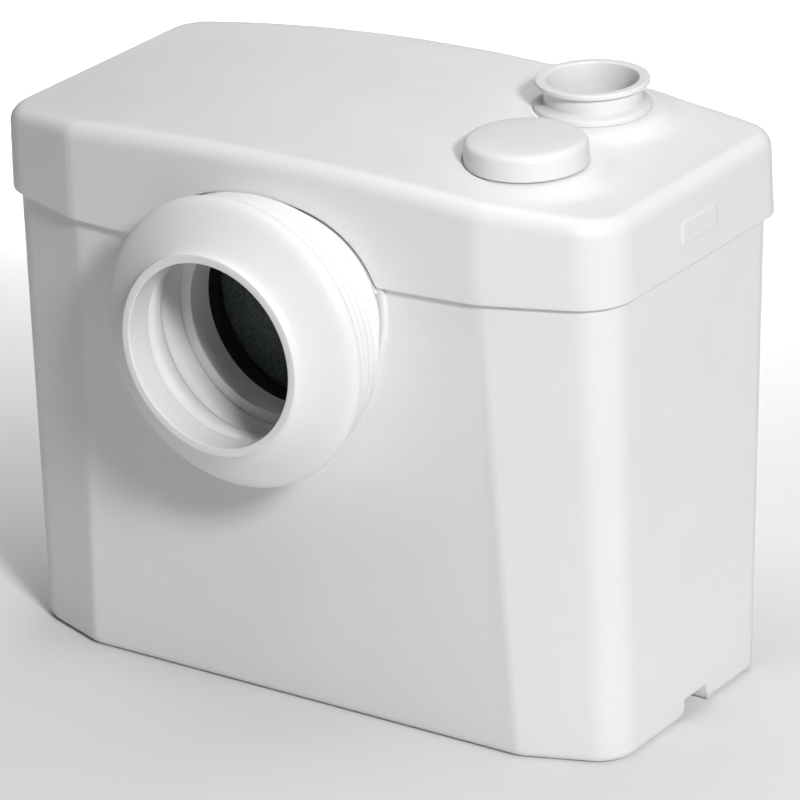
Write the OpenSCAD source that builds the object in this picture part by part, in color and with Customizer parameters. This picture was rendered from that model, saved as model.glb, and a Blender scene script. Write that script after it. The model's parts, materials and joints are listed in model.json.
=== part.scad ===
// Macerator toilet pump: a moulded tank with a lift-off lid, an inlet sleeve
// for the pan, a discharge stub on the lid and the grinder pump set inside.
// +X right, +Y to the wall behind, +Z up. Origin: middle of the base face.

/* [Casing] */
// Width of the lid, side to side
case_w = 330; // [326:1:336]
// Depth of the lid, front to back, without the bowed front
case_d = 166; // [164:1:170]
// Height of the lid's lower edge
seam_z = 216; // [214:1:218]
// Height of the lid's crown in the middle
crown_z = 266.8; // [265:0.2:268]
// How far the crown falls towards the two sides
crown_drop = 13.7; // [12:0.1:15]
// Width of a cut front corner
facet_w = 56; // [52:1:60]
// Depth of a cut front corner
facet_d = 20; // [18:1:22]
// How far the lid's front bows out in the middle
front_bow = 5.3; // [4:0.1:6]
// Wall thickness of tank and lid
wall = 3; // [2.6:0.1:3.2]
// How far the back wall leans in at the base
back_lean = 24.2; // [22:0.2:26]
// Rounding of the lid's top edge
lid_round = 8; // [6:0.5:9]

/* [Inlet] */
// Height of the inlet's axis
inlet_z = 188; // [187:0.5:189]
// Radius of the sleeve's mouth
mouth_r = 43.3; // [42:0.1:43.6]
// Largest radius of the sleeve
sleeve_r = 67.2; // [66.4:0.1:68]
// Front face of the sleeve's lip, measured from the casing's middle
mouth_y = 130.2; // [129.6:0.1:131]
// Radius of the tank's inlet throat
throat_r = 44.3; // [44.3:0.1:44.6]

/* [Discharge and vent] */
// Discharge stub, sideways from the middle
stub_x = 90.5; // [90:0.1:91]
// Discharge stub, back from the middle
stub_y = 41.2; // [41:0.1:41.6]
// Bore radius of the discharge stub
stub_bore_r = 19.4; // [19:0.1:19.5]
// Height of the discharge stub's rim
stub_top_z = 277.7; // [276:0.1:280]
// Vent cap, sideways from the middle
vent_x = 100.6; // [99:0.1:102]
// Vent cap, forward of the middle
vent_y = -28.2; // [-30:0.1:-27]
// Radius of the vent cap
vent_r = 27.3; // [26.5:0.1:27.5]

/* [Motor and pump] */
// Motor axis, sideways from the middle
motor_x = 96; // [95:0.5:97]
// Motor axis, forward of the middle
motor_y = -22; // [-23:0.5:-21]
// Outer radius of the motor can
can_r = 39.5; // [39:0.1:40]
// Radius of the rotor shaft
shaft_r = 5; // [4.6:0.1:5.2]
// Rows of holes in the grinder basket
basket_rows = 4; // [3:1:4]
// Vanes on the impeller
vane_count = 6; // [4:1:7]

/* [Hidden] */
$fn = 72;

white = [0.93, 0.93, 0.92];
rubber_white = [0.91, 0.91, 0.89];
black = [0.06, 0.07, 0.07];
steel = [0.72, 0.73, 0.74];
grey = [0.45, 0.46, 0.47];
copper = [0.72, 0.42, 0.22];

half = case_w / 2;
yf = -case_d / 2;
yb = case_d / 2;
NA = 6;          // points on a rounded corner
NM = 9;          // points along the bowed front
NK = NM + 12;    // points along the back
NR = 6 * NA + NM + NK;
rim_z = seam_z + 5;
lid_in = 3.8;    // how far the lid stands over the tank

// ---- plan outline of the casing -------------------------------------------
// six corners, counter-clockwise from the back left
CORN = [[-half, yb], [-half, yf + facet_d], [-half + facet_w, yf],
        [half - facet_w, yf], [half, yf + facet_d], [half, yb]];
RAD = [17, 26, 20, 20, 26, 17];
function unit(v) = v / norm(v);
function inward(i) = let(e = unit(CORN[(i + 1) % 6] - CORN[i])) [-e[1], e[0]];
function cross2(a, b) = a[0] * b[1] - a[1] * b[0];
// corner i moved in by d on each of its two sides
function corner(i, d) = let(n0 = inward((i + 5) % 6), n1 = inward(i),
    c0 = n0 * CORN[i] + d[(i + 5) % 6], c1 = n1 * CORN[i] + d[i], k = cross2(n0, n1))
    [(c0 * n1[1] - c1 * n0[1]) / k, (n0[0] * c1 - n1[0] * c0) / k];
function wrap(a) = a > 180 ? a - 360 : a < -180 ? a + 360 : a;
function arc(p, q, s, r0) = let(a = unit(q - p), b = unit(s - p), g = acos(a * b),
    t = min(r0 / tan(g / 2), 0.48 * norm(q - p), 0.48 * norm(s - p)), r = t * tan(g / 2),
    c = p + unit(a + b) * r / sin(g / 2), u = p + a * t - c, v = p + b * t - c,
    a0 = atan2(u[1], u[0]), da = wrap(atan2(v[1], v[0]) - a0))
    [for (k = [0:NA - 1]) c + r * [cos(a0 + da * k / (NA - 1)), sin(a0 + da * k / (NA - 1))]];
function bowed(p, bow, hx) = abs(p[0]) < hx && p[1] < yf + 30 ? [p[0], p[1] - bow * (1 - pow(p[0] / hx, 2))] : p;
// outline moved in: f at the front, s at the sides and facets, b at the back
function outline(f, s, b, bow) = let(d = [s, s, f, s, s, b],
    P = [for (i = [0:5]) corner(i, d)],
    A = [for (i = [0:5]) arc(P[i], P[(i + 5) % 6], P[(i + 1) % 6], max(RAD[i] - f, 2))],
    front = [for (k = [1:NM]) A[2][NA - 1] + (A[3][0] - A[2][NA - 1]) * k / (NM + 1)],
    back = [for (k = [1:NK]) A[5][NA - 1] + (A[0][0] - A[5][NA - 1]) * k / (NK + 1)],
    L = concat(A[0], A[1], A[2], front, A[3], A[4], A[5], back), hx = half - facet_w - 0.3 * f)
    [for (p = L) bowed(p, bow, hx)];
function at_z(L, z) = [for (p = L) [p[0], p[1], z]];
// indices of the front and back chains, left to right, for closing a ring
FC = [for (k = [NA:NA * 5 + NM - 1]) k];
BC = concat([for (k = [NA - 1:-1:0]) k], [for (k = [NR - 1:-1:NA * 5 + NM]) k]);
function cap_faces(o, up) = [for (k = [0:len(FC) - 2]) each
    up ? [[o + FC[k], o + BC[k + 1], o + FC[k + 1]], [o + FC[k], o + BC[k], o + BC[k + 1]]]
       : [[o + FC[k], o + FC[k + 1], o + BC[k + 1]], [o + FC[k], o + BC[k + 1], o + BC[k]]]];
function band_faces(i0, i1, up) = [for (k = [0:NR - 1]) let(a = i0 * NR + k, b = i0 * NR + (k + 1) % NR,
    c = i1 * NR + (k + 1) % NR, d = i1 * NR + k) each up ? [[a, c, b], [a, d, c]] : [[a, b, c], [a, c, d]]];
// skin through a list of rings; "up" when the outer rings run upwards
module skin(rings, up) {
  n = len(rings);
  polyhedron(points = [for (r = rings) each r], faces = concat(cap_faces(0, !up),
      [for (i = [0:n - 2]) each band_faces(i, i + 1, up)], cap_faces((n - 1) * NR, up)), convexity = 6);
}
// closed loop of rings, such as a seal
module hoop(rings) {
  n = len(rings);
  polyhedron(points = [for (r = rings) each r],
      faces = [for (i = [0:n - 1]) each band_faces(i, (i + 1) % n, true)], convexity = 6);
}

// ---- helpers ---------------------------------------------------------------
// profile of [radius, forward distance] turned round an axis along Y
module turned_y(z) { translate([0, 0, z]) rotate([90, 0, 0]) rotate_extrude($fn = 96) children(); }
// round bar along Y, from y0 to y1
module bar_y(x, z, r, y0, y1) { translate([x, y0, z]) rotate([-90, 0, 0]) cylinder(h = y1 - y0, r = r); }
module bar_x(y, z, r, x0, x1) { translate([x0, y, z]) rotate([0, 90, 0]) cylinder(h = x1 - x0, r = r); }
module ring_z(r1, r0, z0, z1) { translate([0, 0, z0]) difference() {
  cylinder(h = z1 - z0, r = r1); translate([0, 0, -1]) cylinder(h = z1 - z0 + 2, r = r0); } }
module box(a, b) { translate(a) cube(b - a); }
// round lead along a list of points
function heading(P, i) = unit(i == 0 ? P[1] - P[0] : i == len(P) - 1 ? P[i] - P[i - 1] : unit(P[i + 1] - P[i]) + unit(P[i] - P[i - 1]));
function frames(P, i = 0, u = [0, 0, 0]) = i == len(P) ? [] : let(t = heading(P, i),
    v = i == 0 ? unit(cross(t, abs(t[2]) > 0.85 ? [1, 0.13, 0] : [0, 0, 1])) : unit(u - t * (u * t))) concat([[v, cross(t, v)]], frames(P, i + 1, v));
function catmull(P, n) = let(m = len(P)) concat([for (i = [0:m - 2]) for (k = [0:n - 1]) let(t = k / n,
    a = P[max(i - 1, 0)], b = P[i], c = P[i + 1], d = P[min(i + 2, m - 1)])
    0.5 * (2 * b + (c - a) * t + (2 * a - 5 * b + 4 * c - d) * t * t + (3 * b - a - 3 * c + d) * t * t * t)], [P[m - 1]]);
module lead(P, r, sides = 8) {
  n = len(P);
  F = frames(P);
  pts = [for (i = [0:n - 1]) for (k = [0:sides - 1]) P[i] + r * (cos(360 * k / sides) * F[i][0] + sin(360 * k / sides) * F[i][1])];
  polyhedron(points = pts, faces = concat([[for (k = [0:sides - 1]) k]], [[for (k = [sides - 1:-1:0]) (n - 1) * sides + k]],
    [for (i = [0:n - 2]) for (k = [0:sides - 1]) let(a = i * sides + k, b = i * sides + (k + 1) % sides) each [[a, a + sides, b + sides], [a, b + sides, b]]]), convexity = 8);
}

// ---- tank ------------------------------------------------------------------
front_top = lid_in;   front_low = 7;
side_low = 3.7;
back_top = 5.1;
function tank_ring(z, e) = let(t = z / seam_z)
    at_z(outline(front_low + (front_top - front_low) * t + e, side_low + (lid_in - side_low) * t + e,
      back_lean + (back_top - back_lean) * t + e, front_bow * t), z);
function back_y(z) = yb - (back_lean + (back_top - back_lean) * z / seam_z);
base_r = 3.3;
floor_z = 4;
boss_y = 86;           // front face of the inlet boss, forward of the middle
seat_r = 58;           // seat of the sleeve
pad_r = 62.6;          // raised pad behind the sleeve, under the lid's edge
pad_z = 204.5;
arch_a = 63.5;         // arch in the lid: half-width on the inlet's axis
arch_b = 59.5;         // arch in the lid: height above the inlet's axis
function bulge(v) = sign(v) * pow(abs(v), 0.8);
// arch outline, rounder at its shoulders than an ellipse, grown by g
module arch(g, y0, y1) translate([0, y1, inlet_z]) rotate([90, 0, 0]) linear_extrude(y1 - y0)
  polygon([for (k = [0:71]) [(arch_a + g) * bulge(cos(5 * k)), (arch_b + g) * bulge(sin(5 * k))]]);
collar_r = 51.6;       // bore of the collar that the sleeve is pushed on
POSTS = [[-148, -53], [-144, 48], [-52, -62], [52, -62], [148, -53], [144, 48]];
deck_z = 104;
lug_z = 10;            // notch for a floor lug: height, middle and half-width
lug_y = 3.1; lug_w = 9.5;
gland_x = -119; gland_z = 150;
module tank() color(white) difference() {
  union() {
    skin(concat([for (k = [3:-1:0]) tank_ring(base_r - base_r * sin(30 * k), base_r * (1 - cos(30 * k)))],
        [tank_ring(rim_z, 0), tank_ring(rim_z, wall), tank_ring(floor_z + 3, wall), tank_ring(floor_z, wall + 2.5)]), true);
    // upright inlet plate, pad, sleeve collar and inner throat
    bar_y(0, inlet_z, seat_r, -boss_y, -78.5);
    intersection() {
      arch(-1.2, -boss_y, -78.5);
      box([-80, -120, seam_z - 3], [80, 0, 300]);
    }
    intersection() {
      bar_y(0, pad_z, pad_r, -84.9, -78.5);
      box([-80, -120, 60], [80, 0, seam_z - 0.6]);
    }
    bar_y(0, inlet_z, collar_r + 3.9, -104, -80);
    bar_y(0, inlet_z, throat_r + 4, -82, -69);
    // posts under the deck
    for (p = POSTS) translate([p[0], p[1], floor_z - 1]) cylinder(h = 98 - floor_z + 1, r = 6, $fn = 48);
    // pockets for the floor lugs
    for (s = [-1, 1]) box([s > 0 ? 143 : -160.5, lug_y - lug_w - 3.5, 0.2], [s > 0 ? 160.5 : -143, lug_y + lug_w + 3.5, lug_z + 3]);
    // flat seat of the cord's gland
    bar_y(gland_x, gland_z, 14, 66, 75);
  }
  bar_y(0, inlet_z, throat_r, -120, -60);
  bar_y(0, inlet_z, collar_r, -120, -83);
  for (p = POSTS) translate([p[0], p[1], 70]) cylinder(h = 40, r = 2, $fn = 32);
  for (s = [-1, 1]) box([s > 0 ? 146 : -170, lug_y - lug_w, -1], [s > 0 ? 170 : -146, lug_y + lug_w, lug_z]);
  bar_y(gland_x, gland_z, 8.2, 50, 90);
}

// ---- lid -------------------------------------------------------------------
lid_lin = 0.7;
function top_z(x) = crown_z - crown_drop * pow(x / half, 2);
function lid_flat(e) = outline(e, e, e, front_bow);
// ring on the rounded top edge: e = inset, a = height above the edge's start
function lid_ring(e, a) = let(L = lid_flat(e), T = lid_flat(lid_lin + lid_round))
    [for (k = [0:NR - 1]) [L[k][0], L[k][1], top_z(T[k][0]) - lid_round + a]];
stub_seat = 263.2;
vent_seat = 261.6;
ledge_z = rim_z + 4;
module lid() color(white) difference() {
  union() {
    skin(concat([for (k = [4:-1:0]) lid_ring(lid_lin + lid_round * (1 - cos(22.5 * k)), lid_round * sin(22.5 * k))],
        [at_z(lid_flat(0), seam_z + 1), at_z(lid_flat(0.8), seam_z), at_z(lid_flat(wall), seam_z),
         at_z(lid_flat(wall + 0.1), ledge_z), at_z(lid_flat(9), ledge_z), at_z(lid_flat(9), ledge_z + 3), at_z(lid_flat(wall + 0.3), ledge_z + 3)],
        [for (k = [0:2]) lid_ring(lid_lin + wall + (lid_round - wall) * (1 - cos(45 * k)), (lid_round - wall) * sin(45 * k))]), false);
    translate([stub_x, stub_y, 258.5]) cylinder(h = stub_seat - 258.5, r = 29.5);
    translate([vent_x, vent_y, 256.8]) cylinder(h = vent_seat - 256.8, r = vent_r + 3);
    // cup for the filter
    translate([vent_x, vent_y, 240]) cylinder(h = 20, r = 23.5);
    // low finger pad on each side
    for (s = [-1, 1]) box([s > 0 ? half - 2 : -half - 0.2, -5.6, 227.8], [s > 0 ? half + 0.2 : -half + 2, 22.9, 237.4]);
  }
  // arch over the inlet
  arch(0, -110, -66);
  translate([stub_x, stub_y, 230]) cylinder(h = 60, r = 22.3);
  translate([stub_x, stub_y, stub_seat]) cylinder(h = 20, r = 27.4);
  translate([vent_x, vent_y, vent_seat]) cylinder(h = 20, r = vent_r + 0.6);
  translate([vent_x, vent_y, 242]) cylinder(h = 40, r = 21);
  for (k = [0:5]) translate([vent_x + 12 * cos(60 * k), vent_y + 12 * sin(60 * k), 230]) cylinder(h = 20, r = 3, $fn = 32);
  translate([vent_x, vent_y, 230]) cylinder(h = 20, r = 3, $fn = 32);
}
module lid_seal() color(grey) difference() {
  hoop([at_z(outline(4, 4, 5.2, front_bow), rim_z), at_z(outline(4, 4, 5.2, front_bow), ledge_z - 0.4),
        at_z(outline(6.4, 6.4, 7.6, front_bow), ledge_z - 0.4), at_z(outline(6.4, 6.4, 7.6, front_bow), rim_z)]);
  arch(0, -110, -66);
}

// ---- inlet -----------------------------------------------------------------
// section of the sleeve: radius, distance forward of the casing's middle
lip_y = mouth_y;
function rib(y, r) = [[r, y - 1.6], [r + 0.5, y - 1.1], [r + 0.5, y + 1.1], [r + 0.1, y + 1.6]];
SLEEVE = concat([[55.9, 86.1], [56.9, 86.1], [57.3, 86.9]],
  rib(92.5, 59.3), rib(98.3, 61.3), rib(104.1, 63.4),
  [[sleeve_r - 1.9, 107.4], [sleeve_r - 0.6, 109.4], [sleeve_r, 111.4], [sleeve_r - 0.3, 113], [sleeve_r - 1.5, 114.9], [sleeve_r - 3.9, 116.8],
   [sleeve_r - 8, 119.2], [sleeve_r - 12.4, 121.8], [50.6, 124.6], [48.7, 126], [47.4, 127.2], [46.7, 128.5], [46, 129.5], [44.9, lip_y], [mouth_r + 0.5, lip_y], [mouth_r, lip_y - 0.6],
   [mouth_r, 115.4], [45.4, 114.6], [46.6, 113.6], [45.7, 111.3], [45.2, 108.6], [45.3, 105], [46, 102.2], [47.3, 99.8], [48.8, 98.4],
   [49.2, 97], [49.2, 84.6], [49.6, 83.2], [51.4, 83.2], [51.4, 104.3], [55.9, 104.3]]);
flange_r = 61.2;       // root flange of the sleeve: fills the lid's arch and rounds in below it
flange_z = 202;
flange_y = 88.6;
module inlet_sleeve() color(rubber_white) {
  turned_y(inlet_z) polygon(SLEEVE);
  difference() {
    intersection() {
      arch(-1.2, -flange_y, -86.1);
      bar_y(0, flange_z, flange_r, -flange_y, -86.1);
    }
    bar_y(0, inlet_z, 56.4, -95, -80);
  }
}
pin_y = -57.5; pin_z = inlet_z + 56;   // in front of the flap's weight, so it falls shut
module flap_seat() color(black) difference() {
  union() {
    turned_y(inlet_z) polygon([[45.5, 69], [45.5, 58.2], [46.3, 57.2], [51, 57.2], [51, 75], [throat_r + 4.05, 75], [throat_r + 4.05, 69]]);
    for (s = [-1, 1]) {
      box([s > 0 ? 12 : -16, -62, inlet_z + 45], [s > 0 ? 16 : -12, -57.2, pin_z + 4]);
      box([s > 0 ? 12 : -16, -62, pin_z - 3.6], [s > 0 ? 16 : -12, -53.6, pin_z + 4]);
    }
  }
  bar_x(pin_y, pin_z, 1.6, -30, 30);
}
module flap_pin() color(steel) bar_x(pin_y, pin_z, 1.6, -17, 17);
module inlet_flap() color(black) difference() {
  union() {
    turned_y(inlet_z) polygon([[0, 53.9], [49.2, 53.9], [49.2, 56.2], [48.5, 56.9], [44.2, 56.9], [43.6, 57.6], [0, 57.6]]);
    bar_x(pin_y, pin_z, 3.4, -11.5, 11.5);
    box([-10, -56.9, inlet_z + 46], [10, -53.9, pin_z - 1]);
  }
  bar_x(pin_y, pin_z, 1.66, -20, 20);
}

// ---- discharge stub and vent -----------------------------------------------
module discharge_stub() color(white) translate([stub_x, stub_y, 0]) difference() {
  rotate_extrude($fn = 96) polygon([[stub_bore_r - 1, 246], [22, 246], [22, stub_seat], [25.9, stub_seat], [26.2, stub_seat + 0.4], [26.2, stub_seat + 2.3], [25.6, stub_seat + 2.9],
      [23, stub_seat + 4.2], [22.2, stub_seat + 4.9], [22, stub_seat + 5.8], [22, stub_top_z - 3], [22.5, stub_top_z - 2.5], [25.2, stub_top_z - 2.3], [25.6, stub_top_z - 1.9], [25.6, stub_top_z - 0.8], [24.8, stub_top_z],
      [stub_bore_r - 1, stub_top_z]]);
  translate([0, 0, 240]) cylinder(h = 50, r = stub_bore_r);
  translate([0, 0, 240]) cylinder(h = stub_seat + 0.8 - 240, r = stub_bore_r + 0.6);
  ring_z(24, 20.7, 249, 251);
}
module discharge_seal() color(black) translate([stub_x, stub_y, 250]) rotate_extrude($fn = 96) translate([21.6, 0]) circle(r = 0.9, $fn = 32);
module vent_cap() color(white) translate([vent_x, vent_y, 0]) rotate_extrude($fn = 96)
  polygon([[0, 257.5], [20, 257.5], [20.5, 258.2], [20.5, vent_seat + 0.6], [vent_r - 0.4, vent_seat + 0.6], [vent_r, vent_seat + 1.1], [vent_r, 270], [vent_r - 0.4, 271.8], [vent_r - 1.5, 273], [vent_r - 3.6, 273.7], [18, 274.2], [9, 274.5], [0, 274.6]]);
module carbon_filter() color(black) translate([vent_x, vent_y, 242.3]) cylinder(h = 13.5, r = 20.4);

// ---- deck ------------------------------------------------------------------
riser_x = 68;
bell_x = -112; bell_y = -10;
MS = [for (k = [0:3]) [motor_x + 49.2 * cos(45 + 90 * k), motor_y + 49.2 * sin(45 + 90 * k)]];
module motor_deck() color(grey) difference() {
  translate([0, 0, deck_z]) linear_extrude(4) polygon([[-153, 60], [-153, -55.5], [-117, -69], [117, -69], [153, -55.5], [153, 60]]);
  box([-58, -53.5, 90], [40, 5.5, 120]);
  translate([motor_x, motor_y, 90]) cylinder(h = 30, r = 11);
  translate([riser_x, stub_y, 90]) cylinder(h = 30, r = 16.5);
  translate([bell_x, bell_y, 90]) cylinder(h = 30, r = 7.5);
  for (p = POSTS) translate([p[0], p[1], 90]) cylinder(h = 30, r = 2.6, $fn = 32);
  for (p = MS) translate([p[0], p[1], 90]) cylinder(h = 30, r = 2.2, $fn = 32);
}
module deck_isolators() color(black) for (p = POSTS) translate([p[0], p[1], 0]) ring_z(7, 2.6, 98, deck_z);
module deck_screws() color(steel) for (p = POSTS) translate([p[0], p[1], 0]) {
  translate([0, 0, 78]) cylinder(h = 31, r = 2, $fn = 32);
  difference() { translate([0, 0, 108]) cylinder(h = 3.4, r = 4.5, $fn = 48); box([-3, -0.5, 110.2], [3, 0.5, 113]); }
}
module inlet_chute() color(grey) {
  difference() {
    union() {
      translate([0, 4, 0]) rotate([90, 0, 0]) linear_extrude(56) polygon([[-56, 114], [49, 68], [49, 71], [-54, 116.2], [-54, 122], [-56, 122]]);
      for (y = [-50, 4]) translate([0, y, 0]) rotate([90, 0, 0]) linear_extrude(2) polygon([[-56, 114], [49, 68], [49, 102], [38.5, 102], [38.5, 113], [-54, 122], [-56, 122]]);
      box([-68, -40, 108], [-55, -8, 110]);
      box([-58, -40, 108], [-54, -8, 120]);
    }
  }
}

// ---- grinder ---------------------------------------------------------------
module grinder_basket() color(steel) translate([motor_x, motor_y, 0]) difference() {
  union() {
    ring_z(46, 43.5, 37, 104);
    ring_z(46, 7, 37, 40);
    ring_z(52, 43.5, 101, 104);
  }
  for (r = [0:basket_rows - 1]) for (k = [0:13]) rotate([0, 0, -130 + 20 * k + 10 * (r % 2)])
    translate([40, 0, 47 + 13.5 * r]) rotate([0, 90, 0]) cylinder(h = 10, r = 3.6, $fn = 32);
  box([-55, -24, 69], [-30, 24, 100.5]);
  for (k = [0:3]) rotate([0, 0, 45 + 90 * k]) translate([49.2, 0, 95]) cylinder(h = 20, r = 2.2, $fn = 32);
}
module cutter_blade() color(steel) translate([motor_x, motor_y, 0]) difference() {
  union() {
    box([-40, -6, 52], [40, 6, 54.5]);
    for (s = [-1, 1]) box([s > 0 ? 37.5 : -40, -6, 52], [s > 0 ? 40 : -37.5, 6, 64]);
    translate([0, 0, 49]) cylinder(h = 8, r = 11);
  }
  translate([0, 0, 40]) cylinder(h = 30, r = shaft_r);
}
module blade_nut() color(steel) translate([motor_x, motor_y, 57]) difference() {
  cylinder(h = 7, r = 9, $fn = 6);
  translate([0, 0, -1]) cylinder(h = 12, r = shaft_r);
}

// ---- motor -----------------------------------------------------------------
module motor_can() color(steel) translate([motor_x, motor_y, 0]) difference() {
  union() {
    ring_z(can_r, can_r - 2.5, 108, 186);
    ring_z(52, 11, 108, 112);
    ring_z(16.5, 13, 108, 119);
  }
  translate([0, 0, 110]) cylinder(h = 9.5, r = 13);
  for (k = [0:3]) rotate([0, 0, 45 + 90 * k]) translate([49.2, 0, 95]) cylinder(h = 30, r = 2.2, $fn = 32);
}
module motor_cover() color(grey) translate([motor_x, motor_y, 0]) difference() {
  rotate_extrude($fn = 96) polygon([[0, 192], [11, 192], [11, 183.5], [14.5, 183.5], [14.5, 189], [can_r - 3, 189], [can_r - 3, 186], [can_r, 186], [can_r, 192.5], [can_r - 1.5, 194.2], [can_r - 5, 195], [20, 196], [0, 196.4]]);
  rotate([0, 0, 35]) translate([12, 0, 185]) translate([8, 0, 0]) cylinder(h = 20, r = 2.4, $fn = 32);
}
module motor_screws() color(steel) for (p = MS) translate([p[0], p[1], 0]) {
  translate([0, 0, 97]) cylinder(h = 16, r = 2, $fn = 32);
  translate([0, 0, 112]) cylinder(h = 3.2, r = 3.6, $fn = 6);
  translate([0, 0, 97.8]) cylinder(h = 3.2, r = 3, $fn = 6);
}
module stator_core() color(grey) translate([motor_x, motor_y, 0]) difference() {
  ring_z(can_r - 2.5, 24.6, 131.2, 176);
  for (k = [0:11]) rotate([0, 0, 30 * k]) box([27, -2.6, 130], [33.5, 2.6, 178]);
}
module stator_windings() color(copper) translate([motor_x, motor_y, 0]) {
  rotate_extrude($fn = 96) polygon([[26, 123], [28, 121.2], [33, 121.2], [35, 123], [35, 131.2], [26, 131.2]]);
  rotate_extrude($fn = 96) polygon([[26, 176], [35, 176], [35, 184], [33, 185.6], [28, 185.6], [26, 184]]);
}
module rotor_core() color(steel) translate([motor_x, motor_y, 0]) difference() {
  rotate_extrude($fn = 96) polygon([[shaft_r, 131], [17, 131], [17, 126.5], [23, 126.5], [23, 131], [24, 131], [24, 176], [23, 176], [23, 180.5], [17, 180.5], [17, 176], [shaft_r, 176]]);
  for (k = [0:15]) rotate([0, 0, 22.5 * k]) box([23.2, -0.7, 134], [25, 0.7, 173]);
}
module motor_shaft() color(steel) translate([motor_x, motor_y, 13.8]) cylinder(h = 177.6, r = shaft_r);
module upper_bearing() color(steel) translate([motor_x, motor_y, 0]) ring_z(11, shaft_r + 0.04, 184, 191.8);
module lower_bearing() color(steel) translate([motor_x, motor_y, 0]) ring_z(13, shaft_r + 0.04, 110, 119);
module shaft_seal() color(black) translate([motor_x, motor_y, 0]) ring_z(11, shaft_r + 0.04, 104, 108);

// ---- pump ------------------------------------------------------------------
out_z = 26;
module pump_impeller() color(black) translate([motor_x, motor_y, 0]) difference() {
  union() {
    translate([0, 0, 29]) cylinder(h = 3, r = 34);
    translate([0, 0, 17]) cylinder(h = 13, r = 9);
    for (k = [0:vane_count - 1]) rotate([0, 0, 360 / vane_count * k]) translate([7, 0, 17.5]) rotate([0, 0, 18]) box([0, -1.3, 0], [26, 1.3, 12]);
  }
  translate([0, 0, 10]) cylinder(h = 40, r = shaft_r);
}
module pump_volute() color(white * 0.8) difference() {
  union() {
    translate([motor_x, motor_y, 15]) cylinder(h = 22, r = 45);
    bar_y(riser_x, out_z, 10.8, motor_y, stub_y);
    translate([riser_x, stub_y, out_z]) sphere(r = 12.3);
    translate([riser_x, stub_y, out_z]) cylinder(h = 20, r = 12.3);
  }
  translate([motor_x, motor_y, 14]) cylinder(h = 19, r = 37);
  translate([motor_x, motor_y, 20]) cylinder(h = 30, r = shaft_r + 0.5);
  bar_y(riser_x, out_z, 8, motor_y, stub_y);
  translate([riser_x, stub_y, out_z]) sphere(r = 9);
  translate([riser_x, stub_y, out_z]) cylinder(h = 30, r = 9);
  for (k = [0:3]) translate([motor_x, motor_y, 14]) rotate([0, 0, 45 + 90 * k]) translate([41, 0, 0]) cylinder(h = 12, r = 1.7, $fn = 32);
}
module pump_cover() color(white * 0.8) translate([motor_x, motor_y, 0]) difference() {
  ring_z(45, 15, 12, 15);
  for (k = [0:3]) rotate([0, 0, 45 + 90 * k]) translate([41, 0, 5]) cylinder(h = 20, r = 1.7, $fn = 32);
}
module pump_screws() color(steel) for (k = [0:3]) translate([motor_x, motor_y, 0]) rotate([0, 0, 45 + 90 * k]) translate([41, 0, 0]) {
  translate([0, 0, 11]) cylinder(h = 14, r = 1.7, $fn = 32);
  translate([0, 0, 9.6]) cylinder(h = 2.4, r = 3.2, $fn = 6);
}
// flexible riser: straight up, then an easy S-bend to the valve
bend_z0 = 132; bend_z1 = 181;
function ease(t) = t * t * (3 - 2 * t);
RISER = concat([[riser_x, stub_y, 37.6], [riser_x, stub_y, 90]],
  [for (k = [0:12]) [riser_x + (stub_x - riser_x) * ease(k / 12), stub_y, bend_z0 + (bend_z1 - bend_z0) * k / 12]], [[stub_x, stub_y, 197.5]]);
module hose(P, r1, r0, sides) {
  n = len(P);
  F = frames(P);
  function side(r) = [for (i = [0:n - 1]) for (k = [0:sides - 1]) P[i] + r * (cos(360 * k / sides) * F[i][0] + sin(360 * k / sides) * F[i][1])];
  m = n * sides;
  polyhedron(points = concat(side(r1), side(r0)), faces = concat(
    [for (i = [0:n - 2]) for (k = [0:sides - 1]) let(a = i * sides + k, b = i * sides + (k + 1) % sides) each
      [[a, a + sides, b + sides], [a, b + sides, b], [m + a, m + b + sides, m + a + sides], [m + a, m + b, m + b + sides]]],
    [for (k = [0:sides - 1]) let(b = (k + 1) % sides, e = (n - 1) * sides) each
      [[k, b, m + b], [k, m + b, m + k], [e + k, m + e + b, e + b], [e + k, m + e + k, m + e + b]]]), convexity = 8);
}
module riser_pipe() color(black) hose(RISER, 15.2, 12.5, 24);

// ---- non-return valve ------------------------------------------------------
hinge_y = stub_y + 19; hinge_z = 206.5;
module valve_body() color(white * 0.8) difference() {
  translate([stub_x, stub_y, 0]) rotate_extrude($fn = 96) polygon([[9.5, 184], [12.3, 184], [12.3, 198], [27, 198], [27, 256], [22.8, 256], [22.8, 243], [24.2, 241.5], [24.2, 201], [16, 201], [16, 202], [13.2, 202], [9.5, 198.5]]);
  bar_x(hinge_y, hinge_z, 1.5, stub_x - 40, stub_x + 40);
}
module valve_pin() color(steel) bar_x(hinge_y, hinge_z, 1.5, stub_x - 16, stub_x + 16);
module valve_flap() color(black) difference() {
  union() {
    translate([stub_x, stub_y - 1, 202.4]) cylinder(h = 2.8, r = 17.3);
    bar_x(hinge_y, hinge_z, 3.1, stub_x - 6, stub_x + 6);
    box([stub_x - 5, stub_y + 10, 202.4], [stub_x + 5, hinge_y, 205.2]);
  }
  bar_x(hinge_y, hinge_z, 1.56, stub_x - 20, stub_x + 20);
}

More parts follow.
